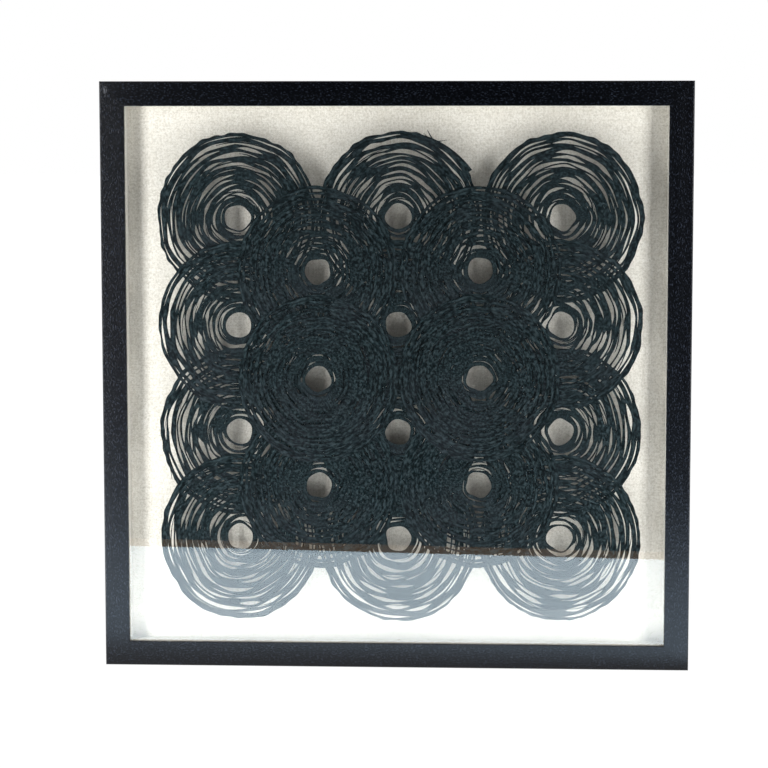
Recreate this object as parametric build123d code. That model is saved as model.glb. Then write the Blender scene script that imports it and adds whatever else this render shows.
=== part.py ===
from build123d import *

import math
import os

# Framed paper wall art: a black shadow-box frame with a glass front, and eighteen cut paper discs that
# float over a linen backing. Millimetres, +Z up, and the front faces -Y. The origin is under the middle
# of the bottom rail, half way from the front of the frame to the back of its wall bumpers.

# Paper discs, in staggered rows of three and two
disc_half_width = 82.0
disc_half_height = 86.0
disc_gap = 0.5
hole_radius = 13.0
paper_thickness = 0.5
outline_snips = 24
hole_snips = 12
outline_lobes = 5
outline_dent_share = 0.022
hole_dent_share = 0.08

# Lens-shaped slits between the strands of a disc, from the innermost ring outwards
slits_by_ring = (1, 2, 2, 2, 3, 3)
slit_length = 52.0
slit_width = 4.2
slit_snips = 3
golden_angle = math.radians(137.5)

# Place of the discs: the layer of each row, counted forwards from the rearmost
discs_by_row = (3, 2, 3, 2, 3, 2, 3)
layer_by_row = (0, 2, 1, 3, 0, 2, 1)
art_shift_x = 3.5
art_shift_z = -1.5
linen_side_margin = 28.5
linen_level_margin = 24.5

# Frame rails
rail_face = 25.0
lip_depth = 4.0
lip_overlap = 6.0
back_recess = 10.0
outer_edge_radius = 1.2
sight_edge_radius = 0.6

# Layers inside the frame
glass_thickness = 2.0
glass_air_gap = 1.5
float_height = 16.0
linen_thickness = 0.6
mount_board_thickness = 2.4
back_board_thickness = 3.0
pane_clearance = 1.0

# Foam pads behind the rows of three
pad_width = 8.0
pad_offset_share = 0.5

# Corner nails, V-shaped in plan and driven in flush from the back
corner_nail_leg = 6.0
corner_nail_thickness = 0.7
corner_nail_depth = 9.0
corner_nail_half_angle = math.radians(45.0)
corner_nail_shares = (0.34, 0.66)

# Retaining points, pressed into the rabbet wall behind the back board
point_width = 7.0
point_reach = 8.0
point_bite = 7.0
point_taper = 3.0
point_thickness = 0.6
point_place_shares = (-0.3, 0.0, 0.3)

# Sawtooth hangers and their nails
hanger_length = 45.0
hanger_width = 9.0
hanger_thickness = 0.8
hanger_foot = 9.0
hanger_rise = 1.8
tooth_pitch = 3.0
tooth_depth = 1.8
hanger_place_share = 0.25
nail_head_radius = 2.0
nail_head_height = 0.7
nail_shank_radius = 0.8
nail_shank_length = 10.0
nail_hole_clearance = 0.2
nail_facets = 8

# Wall bumpers
bumper_radius = 5.0
bumper_tip_radius = 4.0
bumper_height = 3.0
bumper_inset = 14.0
bumper_facets = 16

# How far cutting shapes run past what they cut
cut_overrun = 1.0

# Worked-out sizes
layer_count = max(layer_by_row) + 1
column_pitch = 2 * disc_half_width + disc_gap
row_pitch = column_pitch / 3
art_width = 2 * column_pitch + 2 * disc_half_width
art_height = (len(discs_by_row) - 1) * row_pitch + 2 * disc_half_height
frame_width = art_width + 2 * (linen_side_margin + rail_face)
frame_height = art_height + 2 * (linen_level_margin + rail_face)
rabbet_wall = rail_face - lip_overlap
rabbet_width = frame_width - 2 * rabbet_wall
rabbet_height = frame_height - 2 * rabbet_wall
spacer_depth = glass_air_gap + layer_count * paper_thickness + float_height
panel_depth = linen_thickness + mount_board_thickness + back_board_thickness
rail_depth = lip_depth + glass_thickness + spacer_depth + panel_depth + back_recess

# Faces met on the way from the front to the back
front_y = -(rail_depth + bumper_height) / 2
glass_y = front_y + lip_depth
spacer_y = glass_y + glass_thickness
linen_y = spacer_y + spacer_depth
mount_board_y = linen_y + linen_thickness
back_board_y = mount_board_y + mount_board_thickness
point_y = back_board_y + back_board_thickness
rail_back_y = front_y + rail_depth

# Middle of the frame, and of the artwork on it
middle_z = frame_height / 2
art_z = middle_z + art_shift_z

# Directions out of the frame's four corners, and the four sides as outward directions
corners = [(side_x, side_z) for side_x in (-1, 1) for side_z in (-1, 1)]
sides = [(0, 1), (0, -1), (1, 0), (-1, 0)]


def ring_radii(ring_share):
    """Half the width and height of a ring that lies a share of the way from a disc's hole to its edge."""
    across = hole_radius + ring_share * (disc_half_width - hole_radius)
    up = hole_radius + ring_share * (disc_half_height - hole_radius)
    return across, up


def ring_point(ring_share, angle, offset=0.0):
    """A point of a ring, or of a line a little outside or inside it."""
    across, up = ring_radii(ring_share)
    return (across + offset) * math.cos(angle), (up + offset) * math.sin(angle)


def cut_round(ring_share, snips, dent_share, turn):
    """A hand-cut round outline in straight snips, dented inwards from its ring."""
    points = []
    for snip in range(snips):
        angle = 2 * math.pi * snip / snips
        left_share = 1 - dent_share * (1 + math.sin(outline_lobes * angle + turn)) / 2
        x, z = ring_point(ring_share, angle)
        points.append((x * left_share, z * left_share))
    return points


def cut_slit(ring_share, start):
    """A slit that follows its ring, pointed at both ends and widest in the middle."""
    across, _ = ring_radii(ring_share)
    outer_side = []
    inner_side = []
    for snip in range(slit_snips + 1):
        sweep_share = snip / slit_snips
        half_width = slit_width / 2 * math.sin(math.pi * sweep_share)
        angle = start + slit_length / across * sweep_share
        outer_side.append(ring_point(ring_share, angle, half_width))
        inner_side.append(ring_point(ring_share, angle, -half_width))
    return outer_side + inner_side[-2:0:-1]


def disc_slits(number):
    """All slits of one disc, turned ring by ring so that no two discs are alike."""
    slits = []
    ring_count = len(slits_by_ring)
    for ring, slit_count in enumerate(slits_by_ring):
        ring_share = (ring + 1) / (ring_count + 1)
        turn = golden_angle * (number * ring_count + ring)
        for slit in range(slit_count):
            slits.append(cut_slit(ring_share, turn + 2 * math.pi * slit / slit_count))
    return slits


def paper_disc(number, place):
    """One disc of cut paper, with the middle of its back at the given place."""
    plane = Plane(origin=place, x_dir=(1, 0, 0), z_dir=(0, -1, 0))
    outline = cut_round(1, outline_snips, outline_dent_share, golden_angle * number)
    hole = cut_round(0, hole_snips, hole_dent_share, golden_angle * number)
    cuts = [Wire.make_polygon(points) for points in [hole] + disc_slits(number)]
    sheet = Face(Wire.make_polygon(outline), cuts)
    return extrude(plane * sheet, amount=paper_thickness, dir=(0, -1, 0))


def disc_places():
    """Name, row and place of every disc, row by row from the top."""
    places = []
    for row, count in enumerate(discs_by_row):
        names = ("left", "middle", "right") if count == 3 else ("left", "right")
        back_y = linen_y - float_height - layer_by_row[row] * paper_thickness
        z = art_z + ((len(discs_by_row) - 1) / 2 - row) * row_pitch
        for column, name in enumerate(names):
            x = art_shift_x + (column - (count - 1) / 2) * column_pitch
            places.append((f"paper_disc_row{row + 1}_{name}", row, (x, back_y, z)))
    return places


def foam_pads():
    """Two pads behind each disc of the rows of three, from the linen to the back of the disc."""
    pads = []
    for name, row, (x, back_y, z) in disc_places():
        if discs_by_row[row] != 3:
            continue
        depth = linen_y - back_y
        for side in (-1, 1):
            pad = Box(pad_width, depth, pad_width)
            pads.append(Pos(x + side * pad_offset_share * disc_half_width, back_y + depth / 2, z) * pad)
    return Compound(pads)


def rail_section():
    """Section of a rail: from front to back along X, and from the outer edge inwards along Y."""
    section = make_face(Polyline(
        (0, 0),
        (0, rail_face),
        (lip_depth, rail_face),
        (lip_depth, rabbet_wall),
        (rail_depth, rabbet_wall),
        (rail_depth, 0),
        close=True,
    ))
    outer_corner = section.vertices().group_by(Axis.X)[0].sort_by(Axis.Y)[0]
    section = fillet(outer_corner, outer_edge_radius)
    sight_corner = section.vertices().group_by(Axis.X)[0].sort_by(Axis.Y)[-1]
    return fillet(sight_corner, sight_edge_radius)


def rail(length):
    """A rail that lies along X with its outer edge at the bottom, mitred at both ends."""
    section_plane = Plane(origin=(-length / 2, front_y, 0), x_dir=(0, 1, 0), z_dir=(1, 0, 0))
    blank = extrude(section_plane * rail_section(), amount=length)
    low = -cut_overrun
    high = rail_face + cut_overrun
    mitres = make_face(Polyline(
        (-length / 2 + low, low),
        (length / 2 - low, low),
        (length / 2 - high, high),
        (-length / 2 + high, high),
        close=True,
    ))
    prism = extrude(Plane.XZ * mitres, amount=rail_depth, both=True)
    return blank & prism


def corner_nails():
    """Two V-shaped nails across each mitre, one nearer the corner than the other."""
    along = Vector(-math.cos(corner_nail_half_angle), math.sin(corner_nail_half_angle))
    inward = Vector(-math.sin(corner_nail_half_angle), -math.cos(corner_nail_half_angle))
    tip = along * corner_nail_leg
    inner_tip = tip + inward * corner_nail_thickness
    inner_apex = -corner_nail_thickness / math.sin(corner_nail_half_angle)
    section = make_face(Polyline(
        (0, 0),
        (tip.X, tip.Y),
        (inner_tip.X, inner_tip.Y),
        (inner_apex, 0),
        (inner_tip.X, -inner_tip.Y),
        (tip.X, -tip.Y),
        close=True,
    ))
    nails = []
    for side_x, side_z in corners:
        for share in corner_nail_shares:
            from_corner = share * rabbet_wall
            x = side_x * (frame_width / 2 - from_corner)
            z = middle_z + side_z * (frame_height / 2 - from_corner)
            plane = Plane(origin=(x, rail_back_y, z), x_dir=(side_x, 0, side_z), z_dir=(0, -1, 0))
            nails.append(extrude(plane * section, amount=corner_nail_depth))
    return Compound(nails)


def retaining_points():
    """Flat steel points along the four sides, half in the rail and half over the back board."""
    section = make_face(Polyline(
        (point_bite, 0),
        (point_bite - point_taper, point_width / 2),
        (-point_reach, point_width / 2),
        (-point_reach, -point_width / 2),
        (point_bite - point_taper, -point_width / 2),
        close=True,
    ))
    points = []
    for side_x, side_z in sides:
        for share in point_place_shares:
            x = side_x * rabbet_width / 2 + abs(side_z) * share * frame_width
            z = middle_z + side_z * rabbet_height / 2 + abs(side_x) * share * frame_height
            plane = Plane(origin=(x, point_y, z), x_dir=(side_x, 0, side_z), z_dir=(0, 1, 0))
            points.append(extrude(plane * section, amount=point_thickness))
    return Compound(points)


def hanger_places():
    """Middle of each hanger on the back of the top rail."""
    z = frame_height - rabbet_wall / 2
    return {
        "left": (-hanger_place_share * frame_width, rail_back_y, z),
        "right": (hanger_place_share * frame_width, rail_back_y, z),
    }


def sawtooth_hanger():
    """A bent steel strip with two feet and a raised bridge, toothed along its lower edge."""
    half = hanger_length / 2
    foot_end = half - hanger_foot
    bridge_end = foot_end - hanger_rise
    top_side = [
        (-half, hanger_thickness),
        (-foot_end, hanger_thickness),
        (-bridge_end, hanger_rise + hanger_thickness),
        (bridge_end, hanger_rise + hanger_thickness),
        (foot_end, hanger_thickness),
        (half, hanger_thickness),
    ]
    rail_side = [(x, y - hanger_thickness) for x, y in reversed(top_side)]
    strip_section = make_face(Polyline(*top_side, *rail_side, close=True))
    strip = extrude(Pos(0, 0, -hanger_width / 2) * strip_section, amount=hanger_width)
    tooth_count = int(2 * bridge_end / tooth_pitch)
    notch_section = make_face(Polyline(
        (-tooth_pitch / 2, 0),
        (0, tooth_depth),
        (tooth_pitch / 2, 0),
        close=True,
    ))
    for tooth in range(tooth_count):
        x = (tooth - (tooth_count - 1) / 2) * tooth_pitch
        corner = (x, hanger_rise / 2, -hanger_width / 2)
        notch_plane = Plane(origin=corner, x_dir=(1, 0, 0), z_dir=(0, -1, 0))
        strip -= extrude(notch_plane * notch_section, amount=-hanger_rise - hanger_thickness)
    hole_section = RegularPolygon(nail_shank_radius + nail_hole_clearance, nail_facets)
    hole = extrude(hole_section, amount=hanger_thickness + cut_overrun, both=True)
    for side in (-1, 1):
        strip -= Pos(side * (half - hanger_foot / 2), 0, 0) * Rot(90, 0, 0) * hole
    return strip


def hanger_nails():
    """A flat-headed nail through each foot of each hanger."""
    head = extrude(RegularPolygon(nail_head_radius, nail_facets), amount=nail_head_height)
    shank = extrude(RegularPolygon(nail_shank_radius, nail_facets), amount=-nail_shank_length)
    nail = Rot(-90, 0, 0) * (head + shank)
    nails = []
    for x, y, z in hanger_places().values():
        for side in (-1, 1):
            foot_x = x + side * (hanger_length - hanger_foot) / 2
            nails.append(Pos(foot_x, y + hanger_thickness, z) * nail)
    return Compound(nails)


def wall_bumpers():
    """Two tapered rubber discs on the back of the bottom rail."""
    bumpers = []
    for side in (-1, 1):
        plane = Plane(
            origin=(side * (frame_width / 2 - bumper_inset), rail_back_y, rabbet_wall / 2),
            x_dir=(1, 0, 0),
            z_dir=(0, 1, 0),
        )
        base = plane * RegularPolygon(bumper_radius, bumper_facets)
        tip = plane.offset(bumper_height) * RegularPolygon(bumper_tip_radius, bumper_facets)
        bumpers.append(loft([base, tip], ruled=True))
    return Compound(bumpers)


def pane(y, thickness):
    """A sheet that stands on the bottom rabbet wall, clear of the other three."""
    width = rabbet_width - 2 * pane_clearance
    height = rabbet_height - 2 * pane_clearance
    return Pos(0, y + thickness / 2, rabbet_wall + height / 2) * Box(width, thickness, height)


def spacer_strips():
    """Strips along the rabbet walls, flush with the lip; the upright ones fit between the level ones."""
    y = spacer_y + spacer_depth / 2
    level = Box(rabbet_width, spacer_depth, lip_overlap)
    upright = Box(lip_overlap, spacer_depth, rabbet_height - 2 * lip_overlap)
    across = (rabbet_width - lip_overlap) / 2
    up = (rabbet_height - lip_overlap) / 2
    return {
        "spacer_top": Pos(0, y, middle_z + up) * level,
        "spacer_bottom": Pos(0, y, middle_z - up) * level,
        "spacer_left": Pos(-across, y, middle_z) * upright,
        "spacer_right": Pos(across, y, middle_z) * upright,
    }


# Hardware that is driven into the rails
nodes = {
    "corner_nails": corner_nails(),
    "retaining_points": retaining_points(),
    "hanger_nails": hanger_nails(),
}
driven = [solid for group in nodes.values() for solid in group.solids()]

# Rails, with a seat cut for each driven piece
nodes["frame_rail_bottom"] = rail(frame_width) - driven
nodes["frame_rail_top"] = Pos(0, 0, frame_height) * Rot(0, 180, 0) * rail(frame_width) - driven
nodes["frame_rail_left"] = Pos(-frame_width / 2, 0, middle_z) * Rot(0, 90, 0) * rail(frame_height) - driven
nodes["frame_rail_right"] = Pos(frame_width / 2, 0, middle_z) * Rot(0, -90, 0) * rail(frame_height) - driven

# Layers from the glass to the back board
nodes["glass_pane"] = pane(glass_y, glass_thickness)
nodes.update(spacer_strips())
nodes["linen_cover"] = pane(linen_y, linen_thickness)
nodes["mount_board"] = pane(mount_board_y, mount_board_thickness)
nodes["back_board"] = pane(back_board_y, back_board_thickness)

# Paper discs and the pads that hold them off the linen
for number, (name, row, place) in enumerate(disc_places()):
    nodes[name] = paper_disc(number, place)
nodes["foam_pads"] = foam_pads()

# Hangers and bumpers on the back
for name, place in hanger_places().items():
    nodes[f"sawtooth_hanger_{name}"] = Pos(*place) * sawtooth_hanger()
nodes["wall_bumpers"] = wall_bumpers()

os.makedirs("parts", exist_ok=True)
for name, shape in nodes.items():
    export_step(shape, f"parts/{name}.step")
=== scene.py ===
import math

import bmesh
import bpy
import numpy as np
from mathutils import Matrix, Vector


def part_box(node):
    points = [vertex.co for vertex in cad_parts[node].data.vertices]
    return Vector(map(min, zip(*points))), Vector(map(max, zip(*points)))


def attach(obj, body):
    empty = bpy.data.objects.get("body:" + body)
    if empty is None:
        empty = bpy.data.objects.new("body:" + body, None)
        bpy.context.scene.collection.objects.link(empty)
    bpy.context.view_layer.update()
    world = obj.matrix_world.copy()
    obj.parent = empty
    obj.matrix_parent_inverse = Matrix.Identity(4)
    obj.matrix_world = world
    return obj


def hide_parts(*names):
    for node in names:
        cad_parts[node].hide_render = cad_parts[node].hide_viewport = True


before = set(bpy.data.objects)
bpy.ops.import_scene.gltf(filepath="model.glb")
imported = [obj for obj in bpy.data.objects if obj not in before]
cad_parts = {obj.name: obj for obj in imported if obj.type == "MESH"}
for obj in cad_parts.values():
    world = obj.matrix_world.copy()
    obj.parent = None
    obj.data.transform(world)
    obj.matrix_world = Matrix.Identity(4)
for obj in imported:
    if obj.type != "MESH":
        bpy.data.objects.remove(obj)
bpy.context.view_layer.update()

# Framed paper wall art, dressed over its solids. Metres, +Z up, the front faces -Y.
MM = 0.001

# Camera, from the frame's four corners in the photograph
camera_across = 124.5 * MM
camera_distance = 2590.7 * MM
camera_above_middle = 270.4 * MM
camera_angles = (83.91, 0.04, 3.0)
camera_sensor = 36.0
camera_lens = 120.15

# Paper discs and their main slits, as on the solids
disc_half_width = 82.0 * MM
disc_half_height = 86.0 * MM
hole_radius = 13.0 * MM
main_slits_by_ring = (1, 2, 2, 2, 3, 3)
main_slit_length = 52.0 * MM
main_slit_width = 4.2 * MM
golden_angle = math.radians(137.5)

# Strands of the discs, and how their lines wave round the disc
first_seed = 100
strand_count = 2 * (len(main_slits_by_ring) + 1)
strand_steps = 200
strand_sheet = 0.14 * MM
strand_crown = 0.12 * MM
strand_crown_share = 0.05
strand_least_width = 1.5 * MM
strand_sway = 1.8 * MM
sway_waves = (1, 2, 3, 4)
strand_wander = 1.0 * MM
wander_waves = (2, 3, 4, 6)
line_drift_share = 0.3
outline_dent_share = 0.012
outline_waves = (3, 5, 7, 9, 12)
hole_dent_share = 0.06
hole_waves = (2, 3, 4, 5)
rim_nick = 0.6 * MM
rim_nick_waves = (17, 23, 31, 38)

# Finer slits between the strands, which open away from the middle of the art
fine_slit_least_count = 2
fine_slit_spacing = 52.0 * MM
fine_slit_width = 3.8 * MM
fine_slit_width_shares = (0.2, 1.0)
fine_slit_sweep_shares = (0.22, 0.5)
fine_slit_drift_share = 0.15
rim_slit_share = 0.55
slit_bluntness = 1.8
slit_waver = 0.07
slit_waver_waves = (11, 17, 23, 29)
slit_trace = 0.001 * MM
openness_distances = (60.0 * MM, 160.0 * MM, 230.0 * MM, 300.0 * MM)
openness_levels = (0.3, 1.5, 1.3, 1.0)
openness_wave = 0.35
openness_waves = (1, 2, 3)
openness_limits = (0.15, 2.0)
closed_below = 40.0 * MM
pad_offset = disc_half_width / 2
pad_cover = 6.5 * MM

# Thin strands that run across the slits from ring to ring
crossing_count = 55
crossing_steps = 14
crossing_sheet = 0.1 * MM
crossing_lengths = (22.0 * MM, 60.0 * MM)
crossing_reach = 6.0 * MM
crossing_half_width = 0.6 * MM
crossing_width_shares = (0.6, 1.6)
crossing_end_share = 0.3
rim_margin = 3.0 * MM

# Loose fibres at a disc's rim: where they start, which way they turn and how many
fibres_by_disc = {
    "paper_disc_row1_middle": ((math.radians(64.0), 1, 3), (math.radians(65.0), -1, 2)),
    "paper_disc_row5_left": ((math.radians(207.0), 1, 3),),
}
fibre_lengths = (9.0 * MM, 15.0 * MM)
fibre_rise = 9.0 * MM
fibre_rise_shares = (0.3, 1.0)
fibre_lift_share = 0.4
fibre_half_width = 0.7 * MM
fibre_taper_share = 0.75
fibre_spread = math.radians(2.5)

# The strip that ends free at the rim of one disc
free_strip_disc = "paper_disc_row1_middle"
free_strip_angles = (math.radians(86.0), math.radians(31.0))
free_strip_width = 6.0 * MM
free_strip_overhang = 5.0 * MM

# Paper, by the discs' four levels from the linen outwards; each level's tone sets the paper's darkness, and
# the rear levels are a little darker as painted shade
layer_digits = 5
layer_tones_and_shade = (0.66, 0.68, 0.68, 0.7)
paper_colors = {
    "dark": (0.0014, 0.005, 0.0062),
    "light": (0.0125, 0.026, 0.031),
    "hair": (0.056, 0.08, 0.089),
    "patch": (0.0045, 0.0125, 0.0155),
    "felt_light": (0.05, 0.076, 0.085),
    "felt_dark": (0.001, 0.0035, 0.0045),
    "cloud": (0.036, 0.036, 0.045),
    # edge: painted shade along the strands' edges
    "edge": (0.0012, 0.0035, 0.0042),
}

# Linen, and the card wrapped in it that makes the spacers
linen_steps = 80
linen_ripple = 0.08 * MM
linen_ripple_length = 14.0 * MM
linen_ripple_bend = 2.0
linen_ripple_spans = (5, 4)
linen_pitch = 1.1 * MM
linen_tone = 1.0
# The spacers' linen is darkened by this tone as painted shade
card_shade_tone = 0.72
linen_colors = {
    "thread_dark": (0.73, 0.695, 0.62),
    "thread_light": (0.87, 0.85, 0.795),
    "crossing": (0.80, 0.77, 0.695),
    "fleck": (0.60, 0.57, 0.50),
}

# Turned fittings on the back
turn_steps = 24
hanger_foot = 9.0 * MM
hanger_thickness = 0.8 * MM
nail_head_radius = 2.0 * MM
nail_head_height = 0.7 * MM
nail_dome_shares = ((1.0, 0.45), (0.8, 0.8), (0.4, 1.0))
nail_shank_radius = 0.8 * MM
nail_shank_length = 10.0 * MM
nail_point_share = 0.85
bumper_wall_share = 0.3
bumper_round_share = 0.45
bumper_round_steps = 6
bumper_flat_share = 0.5

# Studio: each side lamp's place across, width and power, and each bounce's distance before the frame, its
# depth and power
lamp_before = 0.33
lamp_height = 0.37
lamp_length = 0.74
lamp_by_side = {"left": (-0.49, 0.12, 3.4), "right": (0.55, 0.13, 3.3)}
bounce_width = 2.4
bounce_height = 2.0 * MM
bounce_strips = {"near": (0.16, 0.28, 4.9), "far": (0.48, 0.36, 2.6)}
white = (1.0, 1.0, 1.0, 1.0)
fill_light = 0.13
floor_size = 40.0
floor_color = (0.86, 0.86, 0.85, 1.0)
floor_glow = 1.06
floor_shadow_reach = (0.5, 1.6)
floor_white_shares = (0.94, 1.0)

# Table and room before the frame, which only show as reflections in the glass and the wood
table_far = 0.67
table_near = 0.08
table_turn = math.radians(6.0)
table_length = 8.0
table_color = (0.72, 0.88, 1.0)
table_glow = 3.95
table_edge_height = 11.0 * MM
table_edge_color = (0.5, 0.3, 0.15)
table_edge_glow = 1.0
card_gap = 1.0 * MM
room_height = 4.0
room_color = (0.8, 0.9, 1.0)
room_glow = 0.015

# The frame's faces, and the scuff beside its upper left mitre
rail_low, rail_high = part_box("frame_rail_bottom")
front_y = rail_low[1]
frame_half_width = rail_high[0]
frame_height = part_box("frame_rail_top")[1][2]
scuff_x = -frame_half_width + 6.0 * MM
scuff_z = frame_height - 9.0 * MM


class Finish:
    """A node material under construction, with short calls for the nodes that these finishes use."""

    # A Mix node's colour sockets go by number, since it has one set for each kind of value
    mix_factor, mix_first, mix_second, mix_result = 0, 6, 7, 2

    def __init__(self, name, **sockets):
        self.material = bpy.data.materials.new(name)
        self.material.use_nodes = True
        self.tree = self.material.node_tree
        self.surface = self.tree.nodes["Principled BSDF"]
        self.output = self.tree.nodes["Material Output"]
        for socket, value in sockets.items():
            self.feed(self.surface.inputs[socket.replace("_", " ")], value)

    def feed(self, socket, value):
        """Links a socket to another one, or sets it to a plain value."""
        if isinstance(value, bpy.types.NodeSocket):
            self.tree.links.new(value, socket)
        else:
            socket.default_value = value

    def node(self, kind, inputs=None, **settings):
        """A new node with its inputs fed and its settings made."""
        made = self.tree.nodes.new(kind)
        for name, value in settings.items():
            setattr(made, name, value)
        for socket, value in (inputs or {}).items():
            self.feed(made.inputs[socket], value)
        return made

    def spot(self):
        return self.node("ShaderNodeTexCoord").outputs["Object"]

    def axes(self, vector):
        return self.node("ShaderNodeSeparateXYZ", {"Vector": vector}).outputs

    def noise(self, vector, scale=1.0, detail=4.0, roughness=0.55):
        made = self.node("ShaderNodeTexNoise", {"Vector": vector, "Scale": scale, "Detail": detail,
                                                "Roughness": roughness})
        return made.outputs["Fac"]

    def grain(self, axis, own_scale, other_scale, detail=2.0):
        """Noise with one scale along an axis and another along the two others."""
        scales = [own_scale if each == axis else other_scale for each in "XYZ"]
        mapping = self.node("ShaderNodeMapping", {"Vector": self.spot(), "Scale": scales})
        return self.noise(mapping.outputs["Vector"], detail=detail)

    def calc(self, operation, first, second=0.0):
        made = self.node("ShaderNodeMath", {0: first, 1: second}, operation=operation)
        return made.outputs["Value"]

    def step(self, value, low, high):
        """0 at a value's low level, rising to 1 at its high one."""
        made = self.node("ShaderNodeMapRange", {"Value": value, "From Min": low, "From Max": high})
        return made.outputs["Result"]

    def span(self, value, low, high):
        """A value from 0 to 1, as one from low to high."""
        made = self.node("ShaderNodeMapRange", {"Value": value, "To Min": low, "To Max": high})
        return made.outputs["Result"]

    def blend(self, factor, first, second):
        """A colour between two others, each a plain colour or a socket."""
        made = self.node("ShaderNodeMix", {self.mix_factor: factor}, data_type="RGBA")
        for socket, color in ((self.mix_first, first), (self.mix_second, second)):
            self.feed(made.inputs[socket], (*color, 1.0) if isinstance(color, tuple) else color)
        return made.outputs[self.mix_result]

    def cover(self, under, over, amount, share=1.0):
        """A colour with another laid over it, by an amount from 0 to 1 of which a share counts."""
        return self.blend(self.calc("MULTIPLY", amount, share), under, over)

    def relief(self, height, distance, strength=1.0):
        made = self.node("ShaderNodeBump", {"Height": height, "Distance": distance, "Strength": strength})
        self.feed(self.surface.inputs["Normal"], made.outputs["Normal"])

    def paint(self, color, roughness=None):
        self.feed(self.surface.inputs["Base Color"], color)
        if roughness is not None:
            self.feed(self.surface.inputs["Roughness"], roughness)


def toned(colors, tone):
    """The same colours, lighter or darker."""
    return {part: tuple(tone * value for value in color) for part, color in colors.items()}


def black_wood(name, along):
    """Black-stained wood with short open pores along one axis, rubbed a little at its edges."""
    stain_dark, stain_light = (0.0003, 0.0004, 0.0009), (0.0014, 0.0018, 0.003)
    pore_color, pore_levels, pore_depth = (0.016, 0.0205, 0.031), (0.55, 0.72), 0.3 * MM
    rubbed_color, rubbed_levels, rubbed_reach = (0.05, 0.047, 0.045), (0.45, 0.62), (1.6 * MM, 0.5 * MM)
    scuff_color, scuff_levels, scuff_reach = (0.12, 0.125, 0.14), (0.42, 0.56), (3.2 * MM, 1.2 * MM)
    scuff_slimness = 0.4
    mitre_color, mitre_reach = (0.001, 0.001, 0.0015), (0.5 * MM, 0.15 * MM)
    polish = (0.22, 0.3)

    finish = Finish(name, Specular_IOR_Level=0.32, Specular_Tint=(0.92, 0.94, 1.0, 1.0))
    pores = finish.grain(along, own_scale=380.0, other_scale=800.0)
    bands = finish.grain(along, own_scale=4.0, other_scale=130.0, detail=5.0)
    cloud = finish.noise(finish.spot(), scale=18.0)
    color = finish.blend(bands, stain_dark, stain_light)
    color = finish.cover(color, pore_color, finish.step(pores, *pore_levels))
    x, y, z = finish.axes(finish.spot())
    from_side = finish.calc("SUBTRACT", frame_half_width, finish.calc("ABSOLUTE", x))
    from_level = finish.calc("MINIMUM", z, finish.calc("SUBTRACT", frame_height, z))
    from_edge = finish.calc("MINIMUM", from_side, from_level)
    from_corner = finish.calc("ADD", from_edge, finish.calc("SUBTRACT", y, front_y))
    worn = finish.step(cloud, *rubbed_levels)
    rubbed = finish.calc("MULTIPLY", finish.step(from_corner, *rubbed_reach), worn)
    color = finish.cover(color, rubbed_color, rubbed, share=0.5)
    off_scuff = finish.calc("ABSOLUTE", finish.calc("SUBTRACT", x, scuff_x))
    below_scuff = finish.calc("ABSOLUTE", finish.calc("SUBTRACT", z, scuff_z))
    near_scuff = finish.calc("ADD", off_scuff, finish.calc("MULTIPLY", below_scuff, scuff_slimness))
    broken = finish.step(pores, *scuff_levels)
    scratched = finish.calc("MULTIPLY", finish.step(near_scuff, *scuff_reach), broken)
    color = finish.cover(color, scuff_color, scratched, share=0.6)
    off_mitre = finish.calc("ABSOLUTE", finish.calc("SUBTRACT", from_side, from_level))
    color = finish.cover(color, mitre_color, finish.step(off_mitre, *mitre_reach), share=0.7)
    finish.paint(color, finish.span(bands, *polish))
    finish.relief(pores, pore_depth, strength=0.6)
    return finish.material


def clear_glass():
    """Plain float glass, very slightly green."""
    green, clear = (0.985, 0.995, 0.99), (0.995, 1.0, 0.998)
    finish = Finish("clear_glass", Roughness=0.0, IOR=1.52, Transmission_Weight=1.0)
    smears = finish.noise(finish.spot(), scale=9.0)
    finish.paint(finish.blend(smears, green, clear))
    return finish.material


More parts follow.
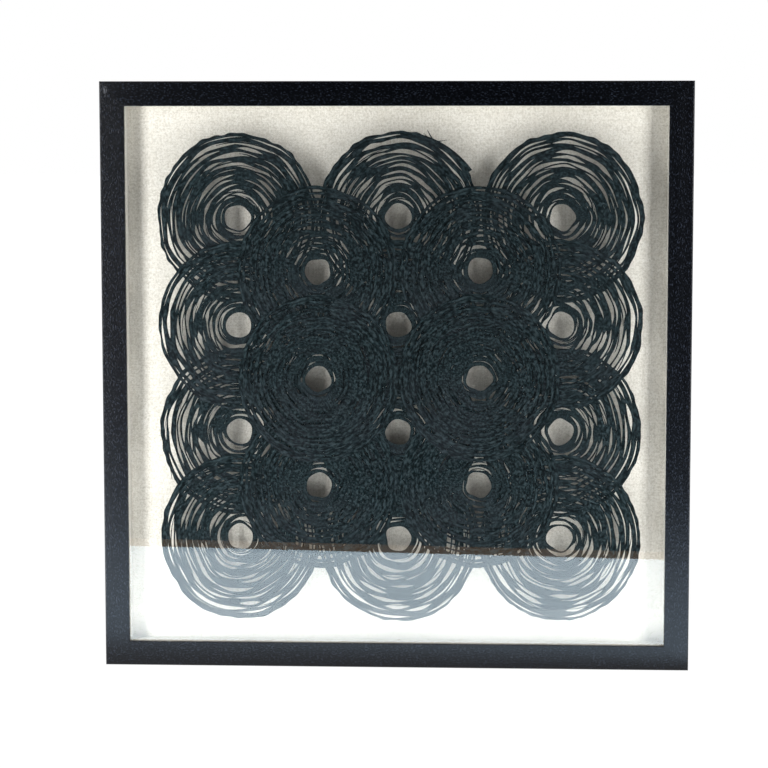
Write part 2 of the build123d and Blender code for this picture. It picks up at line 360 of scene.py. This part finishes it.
def cut_paper(name, tone):
    """Dark blue-green felted paper with fibres that run round the disc, and painted shade along the strands'
    edges.
    """
    streak_levels, hair_levels, patch_levels = (0.4, 0.62), (0.54, 0.7), (0.4, 0.7)
    felt_light_levels, felt_dark_levels, cloud_levels = (0.49, 0.69), (0.5, 0.36), (0.46, 0.62)
    edge_shade_shares = (0.42, 0.0)
    dullness = (0.62, 0.85)
    fibre_depth, hair_depth_share = 0.3 * MM, 0.6

    finish = Finish(name, Specular_IOR_Level=0.05)
    paper = toned(paper_colors, tone)
    x, _, z = finish.axes(finish.spot())
    flat = finish.node("ShaderNodeCombineXYZ", {"X": x, "Y": z}).outputs["Vector"]
    radius = finish.node("ShaderNodeVectorMath", {0: flat}, operation="LENGTH").outputs["Value"]
    around = finish.node("ShaderNodeVectorMath", {0: flat}, operation="NORMALIZE").outputs["Vector"]
    turn_x, turn_y, _ = finish.axes(around)

    def fibres(around_scale, across_scale, detail):
        place = finish.node("ShaderNodeCombineXYZ", {
            "X": finish.calc("MULTIPLY", turn_x, around_scale),
            "Y": finish.calc("MULTIPLY", turn_y, around_scale),
            "Z": finish.calc("MULTIPLY", radius, across_scale),
        }).outputs["Vector"]
        return finish.noise(place, detail=detail)

    streaks = fibres(around_scale=7.0, across_scale=540.0, detail=3.0)
    hairs = fibres(around_scale=13.0, across_scale=900.0, detail=2.0)
    felt = fibres(around_scale=17.0, across_scale=450.0, detail=4.0)
    mottle = finish.noise(finish.spot(), scale=55.0, detail=5.0)
    cloud = finish.noise(finish.spot(), scale=9.0, detail=3.0)
    color = finish.blend(finish.step(streaks, *streak_levels), paper["dark"], paper["light"])
    color = finish.cover(color, paper["hair"], finish.step(hairs, *hair_levels))
    color = finish.cover(color, paper["patch"], finish.step(mottle, *patch_levels), share=0.45)
    color = finish.cover(color, paper["felt_light"], finish.step(felt, *felt_light_levels))
    color = finish.cover(color, paper["felt_dark"], finish.step(felt, *felt_dark_levels))
    color = finish.cover(color, paper["cloud"], finish.step(cloud, *cloud_levels), share=0.22)
    crown = finish.node("ShaderNodeAttribute", attribute_name="crown").outputs["Fac"]
    # Painted shade: darker towards each strand's edges, away from its crown
    color = finish.cover(color, paper["edge"], finish.span(crown, *edge_shade_shares))
    finish.paint(color, finish.span(mottle, *dullness))
    height = finish.calc("ADD", streaks, finish.calc("MULTIPLY", hairs, hair_depth_share))
    finish.relief(height, fibre_depth, strength=0.55)
    return finish.material


def linen_weave(name, tone):
    """Off-white plain weave of level and upright threads, in a lighter or darker tone."""
    slub_levels, weave_levels, fleck_levels = (0.36, 0.64), (0.2, 1.0), (0.42, 0.7)
    thread_drift, drift_middle = 1.2 * MM, 0.5
    slub_mean_share, slub_depth_share, weave_depth = 0.5, 2.0, 0.12 * MM

    finish = Finish(name, Roughness=0.9, Specular_IOR_Level=0.2, Sheen_Weight=0.1)
    linen = toned(linen_colors, tone)
    x, _, z = finish.axes(finish.spot())
    wander = finish.noise(finish.spot(), scale=60.0, detail=3.0)
    drift = finish.calc("MULTIPLY", finish.calc("SUBTRACT", wander, drift_middle), thread_drift)
    turns = math.tau / linen_pitch
    level = finish.calc("SINE", finish.calc("MULTIPLY", finish.calc("ADD", z, drift), turns))
    upright = finish.calc("SINE", finish.calc("MULTIPLY", finish.calc("ADD", x, drift), turns))
    weave = finish.calc("MULTIPLY", level, upright)
    slubs_level = finish.grain("Z", own_scale=900.0, other_scale=45.0)
    slubs_upright = finish.grain("X", own_scale=900.0, other_scale=45.0)
    slubs = finish.calc("MULTIPLY", finish.calc("ADD", slubs_level, slubs_upright), slub_mean_share)
    flecks = finish.noise(finish.spot(), scale=520.0, detail=3.0)
    color = finish.blend(finish.step(slubs, *slub_levels), linen["thread_dark"], linen["thread_light"])
    color = finish.cover(color, linen["crossing"], finish.step(weave, *weave_levels))
    color = finish.cover(color, linen["fleck"], finish.step(flecks, *fleck_levels))
    finish.paint(color)
    height = finish.calc("ADD", weave, finish.calc("MULTIPLY", slubs, slub_depth_share))
    finish.relief(height, weave_depth, strength=0.5)
    return finish.material


def grey_board():
    """Grey card seen at its edges, in pressed layers."""
    dark, light, layer_depth = (0.36, 0.34, 0.31), (0.58, 0.56, 0.52), 0.1 * MM
    finish = Finish("grey_board", Roughness=0.9)
    layers = finish.grain("Y", own_scale=2500.0, other_scale=30.0)
    finish.paint(finish.blend(layers, dark, light))
    finish.relief(layers, layer_depth, strength=0.4)
    return finish.material


def hardboard():
    """Brown pressed fibre board with flecks and a faint screen print of its press."""
    dark, light = (0.20, 0.115, 0.058), (0.33, 0.205, 0.11)
    pale_fleck, pale_levels = (0.46, 0.32, 0.19), (0.55, 0.75)
    dark_fleck, dark_levels = (0.09, 0.05, 0.027), (0.42, 0.25)
    dullness = (0.65, 0.9)
    screen_pitch, screen_depth_share, fleck_depth = 2.2 * MM, 0.35, 0.3 * MM

    finish = Finish("hardboard", Specular_IOR_Level=0.25)
    flecks = finish.noise(finish.spot(), scale=420.0, detail=6.0, roughness=0.7)
    cloud = finish.noise(finish.spot(), scale=7.0, detail=5.0)
    x, _, z = finish.axes(finish.spot())
    turns = math.tau / screen_pitch
    screen = finish.calc("MULTIPLY", finish.calc("SINE", finish.calc("MULTIPLY", x, turns)),
                         finish.calc("SINE", finish.calc("MULTIPLY", z, turns)))
    color = finish.blend(cloud, dark, light)
    color = finish.cover(color, pale_fleck, finish.step(flecks, *pale_levels))
    color = finish.cover(color, dark_fleck, finish.step(flecks, *dark_levels))
    finish.paint(color, finish.span(flecks, *dullness))
    height = finish.calc("ADD", flecks, finish.calc("MULTIPLY", screen, screen_depth_share))
    finish.relief(height, fleck_depth, strength=0.5)
    return finish.material


def dark_foam():
    """Black closed-cell foam."""
    dark, light, cell_depth = (0.008, 0.009, 0.01), (0.03, 0.032, 0.034), 0.2 * MM
    finish = Finish("dark_foam", Roughness=0.9)
    voronoi = finish.node("ShaderNodeTexVoronoi", {"Vector": finish.spot(), "Scale": 1400.0})
    cells = voronoi.outputs["Distance"]
    finish.paint(finish.blend(cells, dark, light))
    finish.relief(cells, cell_depth, strength=0.6)
    return finish.material


def plated_steel():
    """Zinc-plated steel with rolling lines and small dull patches."""
    dark, light, polish, line_depth = (0.42, 0.42, 0.43), (0.68, 0.68, 0.66), (0.28, 0.5), 0.05 * MM
    finish = Finish("plated_steel", Metallic=1.0)
    lines = finish.grain("X", own_scale=60.0, other_scale=2500.0)
    patches = finish.noise(finish.spot(), scale=260.0, detail=5.0)
    finish.paint(finish.blend(patches, dark, light), finish.span(patches, *polish))
    finish.relief(lines, line_depth, strength=0.4)
    return finish.material


def soft_rubber():
    """Dark rubber, slightly dusty."""
    rubber_color, dust_color, dust_levels = (0.018, 0.018, 0.019), (0.07, 0.068, 0.065), (0.45, 0.75)
    dullness, dust_depth = (0.6, 0.85), 0.1 * MM
    finish = Finish("soft_rubber", Specular_IOR_Level=0.35)
    dust = finish.noise(finish.spot(), scale=700.0, detail=5.0)
    color = finish.blend(finish.step(dust, *dust_levels), rubber_color, dust_color)
    finish.paint(color, finish.span(dust, *dullness))
    finish.relief(dust, dust_depth, strength=0.4)
    return finish.material


def add_mesh(name, vertices, faces, material, place=(0, 0, 0)):
    """A piece of the object from its vertices and faces, on the frame's one body."""
    mesh = bpy.data.meshes.new(name)
    mesh.from_pydata(vertices, [], faces)
    mesh.materials.append(material)
    shape = bmesh.new()
    shape.from_mesh(mesh)
    bmesh.ops.recalc_face_normals(shape, faces=shape.faces)
    shape.to_mesh(mesh)
    shape.free()
    piece = bpy.data.objects.new(name, mesh)
    piece.location = place
    bpy.context.scene.collection.objects.link(piece)
    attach(piece, "root")
    return piece


def closed_wave(rng, angles, waves):
    """A smooth wave that closes on itself round the disc, about as high as 1."""
    total = np.zeros_like(angles)
    for wave in waves:
        swing = rng.uniform(-1, 1, 2)
        total += swing[0] * np.cos(wave * angles) + swing[1] * np.sin(wave * angles)
    return total / math.sqrt(len(waves))


def slit_profile(angles, middle, half_sweep, widest):
    """Width all round of one slit, widest in the middle and pointed at both ends."""
    off = np.abs((angles - middle + math.pi) % math.tau - math.pi) / half_sweep
    return widest * np.clip(1 - off ** slit_bluntness, 0, None)


def main_slits(angles, number, ring, radius):
    """Width all round of a ring's main slits, turned from ring to ring as on the solid."""
    count = main_slits_by_ring[ring]
    half_sweep = main_slit_length / radius / 2
    start = golden_angle * (number * len(main_slits_by_ring) + ring) + half_sweep
    places = [start + math.tau * slit / count for slit in range(count)]
    return np.max([slit_profile(angles, place, half_sweep, main_slit_width) for place in places], axis=0)


def fine_slits(rng, angles, radius):
    """Width all round of a ring's finer slits, each of its own length and width."""
    count = max(fine_slit_least_count, round(math.tau * radius / fine_slit_spacing))
    start = rng.uniform(0, math.tau)
    profiles = []
    for slit in range(count):
        drift = rng.uniform(-fine_slit_drift_share, fine_slit_drift_share)
        middle = start + math.tau * (slit + drift) / count
        half_sweep = rng.uniform(*fine_slit_sweep_shares) * math.tau / count
        widest = fine_slit_width * rng.uniform(*fine_slit_width_shares)
        profiles.append(slit_profile(angles, middle, half_sweep, widest))
    return np.max(profiles, axis=0)


def ring_lines(rng, angles):
    """Radius all round of the lines between the strands, from the hole to the rim."""
    dents = np.clip(closed_wave(rng, angles, outline_waves), -1, 1)
    rim = disc_half_width * (1 + outline_dent_share * dents)
    hole = hole_radius * (1 + hole_dent_share * closed_wave(rng, angles, hole_waves))
    sway = closed_wave(rng, angles, sway_waves)
    lines = []
    for line in range(strand_count + 1):
        share = line / strand_count
        loose = 4 * share * (1 - share)
        # Every second line lies on one of the solid's rings, and those between drift
        if line % 2:
            share += rng.uniform(-line_drift_share, line_drift_share) / strand_count
        wander = closed_wave(rng, angles, wander_waves)
        lines.append(hole + (rim - hole) * share + loose * (strand_sway * sway + strand_wander * wander))
    lines[-1] += rim_nick * closed_wave(rng, angles, rim_nick_waves)
    return np.maximum.accumulate(np.array(lines), axis=0)


def slit_openness(angles, radius, off_middle):
    """How far a ring's finer slits open all round, by their distance from the closed middle of the art."""
    across = off_middle[0] + radius * np.cos(angles)
    up = off_middle[1] + radius * np.sin(angles) + closed_below
    return np.interp(np.hypot(across, up), openness_distances, openness_levels)


def clear_of_pads(angles, radius):
    """0 where a slit would show one of the disc's two foam pads, rising to 1 away from them."""
    across = np.abs(radius * np.cos(angles)) - pad_offset
    up = radius * np.sin(angles)
    return np.clip(np.hypot(across, up) / pad_cover - 1, 0, 1)


def slit_widths(rng, angles, number, lines, off_middle):
    """Width all round of the slit along each line, as far as the strands beside it leave room."""
    widths = np.zeros_like(lines)
    unevenness = openness_wave * closed_wave(rng, angles, openness_waves)
    for line in range(1, strand_count):
        radius = hole_radius + line / strand_count * (disc_half_width - hole_radius)
        openness = np.clip(slit_openness(angles, radius, off_middle) + unevenness, *openness_limits)
        widths[line] = openness * fine_slits(rng, angles, radius)
        # The lines on the solid's rings have its main slits too
        if line % 2 == 0:
            widths[line] = np.maximum(widths[line], main_slits(angles, number, line // 2 - 1, radius))
        widths[line] *= 1 + slit_waver * closed_wave(rng, angles, slit_waver_waves)
        widths[line] *= clear_of_pads(angles, radius)
    widths[strand_count - 1] *= rim_slit_share
    room = np.clip(np.diff(lines, axis=0) - strand_least_width, 0, None)
    wanted = np.maximum((widths[:-1] + widths[1:]) / 2, slit_trace)
    kept_share = np.minimum(1, room / wanted)
    widths[1:-1] *= np.minimum(kept_share[:-1], kept_share[1:])
    return widths


def strand_edges(rng, angles, number, off_middle):
    """Inner and outer radius all round of each strand."""
    lines = ring_lines(rng, angles)
    slits = slit_widths(rng, angles, number, lines, off_middle)
    return lines[:-1] + slits[:-1] / 2, lines[1:] - slits[1:] / 2


class Strips:
    """Strips of paper that run round a disc's middle, gathered into one mesh."""

    def __init__(self):
        self.rows = []
        self.crown_rows = []
        self.faces = []
        self.count = 0

    def add(self, angles, inner, outer, rear, sheet, closed):
        """Adds a strip between two radii, crowned in front, either closed round the disc or with two ends."""
        crown = np.minimum(strand_crown, strand_crown_share * (outer - inner))
        front = rear - sheet
        ridge = ((inner + outer) / 2, front - crown)
        section = [(inner, front), ridge, (outer, front), (outer, rear), (inner, rear)]
        steps = len(angles)
        stretch = (disc_half_height - hole_radius) / (disc_half_width - hole_radius)
        for point in section:
            radius, depth = point
            up = hole_radius + (radius - hole_radius) * stretch
            row = [radius * np.cos(angles), depth + np.zeros(steps), up * np.sin(angles)]
            self.rows.append(np.column_stack(row))
            self.crown_rows.append(np.full(steps, float(point is ridge)))
        this_step = np.arange(steps if closed else steps - 1)
        next_step = (this_step + 1) % steps
        starts = self.count + steps * np.arange(len(section))
        for this, that in zip(starts, np.roll(starts, -1)):
            quads = np.column_stack([this + this_step, that + this_step, that + next_step, this + next_step])
            self.faces += quads.tolist()
        if not closed:
            self.faces += [starts.tolist(), (starts + steps - 1).tolist()]
        self.count += steps * len(section)

    def vertices(self):
        return np.concatenate(self.rows).tolist()

    def crowns(self):
        """1 along the middle of each strip's front and 0 along its edges."""
        return np.concatenate(self.crown_rows)


def crossing_strand(rng, strips, rear):
    """A thin strand that leaves its ring behind the others and runs across the slits to another ring."""
    share = np.linspace(0, 1, crossing_steps)
    limits = (hole_radius + rim_margin, disc_half_width - rim_margin)
    first = rng.uniform(*limits)
    last = np.clip(first + rng.uniform(-1, 1) * crossing_reach, *limits)
    radius = first + (last - first) * share * share * (3 - 2 * share)
    swell = crossing_end_share + (1 - crossing_end_share) * np.sin(math.pi * share)
    half_width = crossing_half_width * rng.uniform(*crossing_width_shares) * swell
    angles = rng.uniform(0, math.tau) + share * rng.uniform(*crossing_lengths) / first
    strips.add(angles, radius - half_width, radius + half_width, rear, crossing_sheet, closed=False)


def loose_fibre(rng, strips, rear, start, turn):
    """A torn fibre that leaves the rim and ends free, thin as a hair."""
    share = np.linspace(0, 1, crossing_steps)
    base = disc_half_width - rim_margin / 2
    lift = share * (fibre_lift_share + (1 - fibre_lift_share) * share)
    radius = base + fibre_rise * rng.uniform(*fibre_rise_shares) * lift
    half_width = fibre_half_width * (1 - fibre_taper_share * share)
    sweep = rng.uniform(*fibre_lengths) / base
    angles = start + rng.uniform(-1, 1) * fibre_spread + turn * sweep * share
    strips.add(angles, radius - half_width, radius + half_width, rear, crossing_sheet, closed=False)


def free_strip(strips, rear):
    """A strip along the rim that leaves it at one end and is cut square there."""
    share = np.linspace(0, 1, crossing_steps)
    first, last = free_strip_angles
    angles = first + (last - first) * share
    outer = disc_half_width + free_strip_overhang * share * share
    strips.add(angles, outer - free_strip_width, outer, rear, crossing_sheet, closed=False)


def paper_disc(number, node, centre, rear, off_middle, material):
    """One disc of cut paper as closed strands that part and meet again round its centre hole."""
    rng = np.random.default_rng(first_seed + number)
    angles = np.linspace(0, math.tau, strand_steps, endpoint=False)
    strips = Strips()
    for inner, outer in zip(*strand_edges(rng, angles, number, off_middle)):
        strips.add(angles, inner, outer, rear - crossing_sheet, strand_sheet, closed=True)
    for _ in range(crossing_count):
        crossing_strand(rng, strips, rear)
    for start, turn, fibre_count in fibres_by_disc.get(node, ()):
        for _ in range(fibre_count):
            loose_fibre(rng, strips, rear, start, turn)
    if node == free_strip_disc:
        free_strip(strips, rear)
    name = node.replace("paper_disc", "paper_strands")
    piece = add_mesh(name, strips.vertices(), strips.faces, material, centre)
    piece.data.attributes.new("crown", "FLOAT", "POINT").data.foreach_set("value", strips.crowns())
    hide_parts(node)


def paper_discs():
    """All the discs, with a paper for each of their levels, the rear ones a little darker as painted shade.
    """
    discs = sorted(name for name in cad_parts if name.startswith("paper_disc"))
    rears = {node: round(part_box(node)[1][1], layer_digits) for node in discs}
    centres = {node: sum((Vector(corner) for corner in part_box(node)), Vector()) / 2 for node in discs}
    art_middle = sum(centres.values(), Vector()) / len(discs)
    papers = {}
    # Each level's paper is a copy in its own tone, darker towards the linen as painted shade
    for layer, rear_y in enumerate(sorted(set(rears.values()), reverse=True)):
        papers[rear_y] = cut_paper(f"cut_paper_{layer + 1}", layer_tones_and_shade[layer])
    for number, node in enumerate(discs):
        centre, rear_y = centres[node], rears[node]
        paper_disc(number, node, centre, rear_y - centre.y, (centre - art_middle).xz, papers[rear_y])


def linen_sheet(material):
    """The stretched linen: a closed thin sheet whose face ripples a little."""
    low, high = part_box("linen_cover")
    across = np.linspace(low[0], high[0], linen_steps + 1)
    up = np.linspace(low[2], high[2], linen_steps + 1)
    x, z = np.meshgrid(across, up, indexing="ij")
    turns_x, turns_z = math.tau / linen_ripple_length * x, math.tau / linen_ripple_length * z
    span_z, span_x = linen_ripple_spans
    ripple_x = np.sin(turns_x + linen_ripple_bend * np.sin(turns_z / span_z))
    ripple_z = np.sin(turns_z + linen_ripple_bend * np.cos(turns_x / span_x))
    front = low[1] + linen_ripple * (1 + ripple_x * ripple_z) / 2
    face = np.stack([x, front, z], axis=-1).reshape(-1, 3)
    rear = np.stack([x, np.full_like(x, high[1]), z], axis=-1).reshape(-1, 3)
    rear_shift = len(face)
    index = np.arange(rear_shift).reshape(x.shape)
    corners = [index[:-1, :-1], index[1:, :-1], index[1:, 1:], index[:-1, 1:]]
    quads = np.stack(corners, axis=-1).reshape(-1, 4)
    faces = quads.tolist() + (quads[:, ::-1] + rear_shift).tolist()
    border = np.concatenate([index[:-1, 0], index[-1, :-1], index[:0:-1, -1], index[0, :0:-1]])
    after = np.roll(border, -1)
    faces += np.column_stack([after, border, border + rear_shift, after + rear_shift]).tolist()
    piece = add_mesh("linen_sheet", np.concatenate([face, rear]).tolist(), faces, material)
    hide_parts("linen_cover")


def turned(name, profile, places, material):
    """Round pieces turned from one profile of (radius, distance out of the back), at each place."""
    vertices = []
    faces = []
    for place in places:
        rings = []
        for radius, out in profile:
            start = len(vertices)
            count = turn_steps if radius > 0 else 1
            for step in range(count):
                angle = math.tau * step / turn_steps
                vertices.append((place[0] + radius * math.cos(angle), place[1] + out,
                                 place[2] + radius * math.sin(angle)))
            rings.append((start, count))
        for (this, this_count), (that, that_count) in zip(rings, rings[1:]):
            for step in range(turn_steps):
                following = (step + 1) % turn_steps
                corners = [this + step % this_count, this + following % this_count,
                           that + following % that_count, that + step % that_count]
                faces.append(list(dict.fromkeys(corners)))
    return add_mesh(name, vertices, faces, material)


def hanger_nails(material):
    """Domed nails through the feet of the hangers."""
    places = []
    for side in ("left", "right"):
        low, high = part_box(f"sawtooth_hanger_{side}")
        for x in (low[0] + hanger_foot / 2, high[0] - hanger_foot / 2):
            places.append((x, low[1] + hanger_thickness, (low[2] + high[2]) / 2))
    profile = [
        (0, -nail_shank_length),
        (nail_shank_radius, -nail_shank_length * nail_point_share),
        (nail_shank_radius, 0),
        (nail_head_radius, 0),
        *((nail_head_radius * across, nail_head_height * out) for across, out in nail_dome_shares),
        (0, nail_head_height),
    ]
    piece = turned("domed_nails", profile, places, material)
    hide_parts("hanger_nails")


def wall_bumpers(material):
    """Rounded rubber bumpers at the lower corners of the back."""
    low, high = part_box("wall_bumpers")
    radius = (high[2] - low[2]) / 2
    height = high[1] - low[1]
    middle_z = (low[2] + high[2]) / 2
    places = [(low[0] + radius, low[1], middle_z), (high[0] - radius, low[1], middle_z)]
    profile = [(0, 0), (radius, 0), (radius, height * bumper_wall_share)]
    for step in range(1, bumper_round_steps):
        angle = math.pi / 2 * step / bumper_round_steps
        across = 1 - bumper_round_share + bumper_round_share * math.cos(angle)
        out = bumper_wall_share + (1 - bumper_wall_share) * math.sin(angle)
        profile.append((radius * across, height * out))
    profile += [(radius * bumper_flat_share, height), (0, height)]
    piece = turned("rubber_bumpers", profile, places, material)
    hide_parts("wall_bumpers")


def dress_node(node, material):
    """Gives a solid that keeps its own shape its finished material."""
    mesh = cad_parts[node].data
    mesh.materials.clear()
    mesh.materials.append(material)


def seen_share(tree):
    """1 for what sight, gloss and glass meet, and 0 for light on its way between surfaces."""
    path = tree.nodes.new("ShaderNodeLightPath")
    total = path.outputs["Is Camera Ray"]
    for ray in ("Is Glossy Ray", "Is Transmission Ray"):
        added = tree.nodes.new("ShaderNodeMath")
        added.operation = "ADD"
        added.use_clamp = True
        tree.links.new(total, added.inputs[0])
        tree.links.new(path.outputs[ray], added.inputs[1])
        total = added.outputs["Value"]
    return total


def white_world():
    """Surroundings that look white and fill the shadows a little."""
    world = bpy.data.worlds.new("studio")
    bpy.context.scene.world = world
    world.use_nodes = True
    tree = world.node_tree
    fill = tree.nodes["Background"]
    fill.inputs["Color"].default_value = white
    fill.inputs["Strength"].default_value = fill_light
    seen = tree.nodes.new("ShaderNodeBackground")
    seen.inputs["Color"].default_value = white
    mix = tree.nodes.new("ShaderNodeMixShader")
    tree.links.new(seen_share(tree), mix.inputs[0])
    tree.links.new(fill.outputs[0], mix.inputs[1])
    tree.links.new(seen.outputs[0], mix.inputs[2])
    tree.links.new(mix.outputs[0], tree.nodes["World Output"].inputs[0])


def stage_plane(name, size, place, angles, material):
    """A flat piece of the studio, which isn't part of the object."""
    bpy.ops.mesh.primitive_plane_add(size=1.0, location=place, rotation=angles)
    plane = bpy.context.object
    plane.name = name
    plane.data.transform(Matrix.Diagonal((*size, 1.0, 1.0)))
    plane.data.materials.append(material)
    return plane


def pale_floor():
    """A floor that looks white and keeps a soft shadow near the frame."""
    finish = Finish("pale_floor", Roughness=0.9)
    finish.paint(floor_color)
    away = finish.node("ShaderNodeVectorMath", {0: finish.spot()}, operation="LENGTH").outputs["Value"]
    white_share = finish.span(finish.step(away, *floor_shadow_reach), *floor_white_shares)
    glow = finish.node("ShaderNodeEmission", {"Color": white, "Strength": floor_glow})
    share = finish.calc("MULTIPLY", seen_share(finish.tree), white_share)
    mixed = finish.node("ShaderNodeMixShader", {0: share, 1: finish.surface.outputs[0], 2: glow.outputs[0]})
    finish.feed(finish.output.inputs["Surface"], mixed.outputs[0])
    stage_plane("floor", (floor_size, floor_size), (0, 0, 0), (0, 0, 0), finish.material)


def reflected_card(name, size, place, angles, color, strength):
    """A glowing card before the frame that only shows as a reflection."""
    finish = Finish(name)
    glow = finish.node("ShaderNodeEmission", {"Color": (*color, 1.0), "Strength": strength})
    finish.feed(finish.output.inputs["Surface"], glow.outputs[0])
    card = stage_plane(name, size, place, angles, finish.material)
    card.visible_camera = False
    card.visible_diffuse = False
    card.visible_shadow = False


def reflected_room():
    """What the glass reflects: a bright table, its brown edge and the dark room beyond."""
    middle = (table_near + table_far) / 2
    upright = (math.pi / 2, 0, table_turn)
    reflected_card("bright_table", (table_length, table_far - table_near), (0, front_y - middle, card_gap),
                   (0, 0, table_turn), table_color, table_glow)
    reflected_card("table_edge", (table_length, table_edge_height),
                   (0, front_y - table_far, table_edge_height / 2), upright,
                   table_edge_color, table_edge_glow)
    reflected_card("dark_room", (table_length, room_height),
                   (0, front_y - table_far - card_gap, room_height / 2), upright, room_color, room_glow)


def soft_lamp(name, size, power, place, aim, in_gloss):
    """A plain rectangular lamp that looks from its place towards its aim."""
    lamp = bpy.data.lights.new(name, "AREA")
    lamp.shape = "RECTANGLE"
    lamp.size, lamp.size_y = size
    lamp.energy = power
    holder = bpy.data.objects.new(name, lamp)
    holder.location = place
    holder.rotation_euler = (Vector(aim) - Vector(place)).to_track_quat("-Z", "Y").to_euler()
    holder.visible_camera = False
    holder.visible_glossy = in_gloss
    bpy.context.scene.collection.objects.link(holder)


def studio_lamps():
    """A tall soft lamp on each side, and the light that the table throws up."""
    for side, (across, width, power) in lamp_by_side.items():
        soft_lamp(f"{side}_lamp", (width, lamp_length), power, (across, front_y - lamp_before, lamp_height),
                  (0, front_y, lamp_height), in_gloss=True)
    for strip, (before, depth, power) in bounce_strips.items():
        soft_lamp(f"{strip}_bounce", (bounce_width, depth), power, (0, front_y - before, bounce_height),
                  (0, front_y - before, frame_height), in_gloss=False)


def camera():
    """The photograph's viewpoint."""
    lens = bpy.data.cameras.new("camera")
    lens.sensor_width = camera_sensor
    lens.lens = camera_lens
    holder = bpy.data.objects.new("camera", lens)
    holder.location = (camera_across, front_y - camera_distance, frame_height / 2 + camera_above_middle)
    holder.rotation_euler = [math.radians(angle) for angle in camera_angles]
    bpy.context.scene.collection.objects.link(holder)
    bpy.context.scene.camera = holder


# Finishes on the solids that keep their own shape
steel = plated_steel()
level_wood = black_wood("black_wood_level", "X")
upright_wood = black_wood("black_wood_upright", "Z")
# The spacers' card is the linen in a darker tone, as painted shade
shade_painted_card = linen_weave("shade_painted_card", card_shade_tone)
for node, material in {
    "frame_rail_top": level_wood,
    "frame_rail_bottom": level_wood,
    "frame_rail_left": upright_wood,
    "frame_rail_right": upright_wood,
    "glass_pane": clear_glass(),
    "spacer_top": shade_painted_card,
    "spacer_bottom": shade_painted_card,
    "spacer_left": shade_painted_card,
    "spacer_right": shade_painted_card,
    "mount_board": grey_board(),
    "back_board": hardboard(),
    "foam_pads": dark_foam(),
    "corner_nails": steel,
    "retaining_points": steel,
    "sawtooth_hanger_left": steel,
    "sawtooth_hanger_right": steel,
}.items():
    dress_node(node, material)
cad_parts["glass_pane"].visible_shadow = False
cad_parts["glass_pane"].visible_diffuse = False

# Pieces with more shape than their solids
paper_discs()
linen_sheet(linen_weave("linen", linen_tone))
hanger_nails(steel)
wall_bumpers(soft_rubber())

# Studio and viewpoint
white_world()
pale_floor()
reflected_room()
studio_lamps()
camera()
bpy.context.scene.view_settings.view_transform = "Standard"
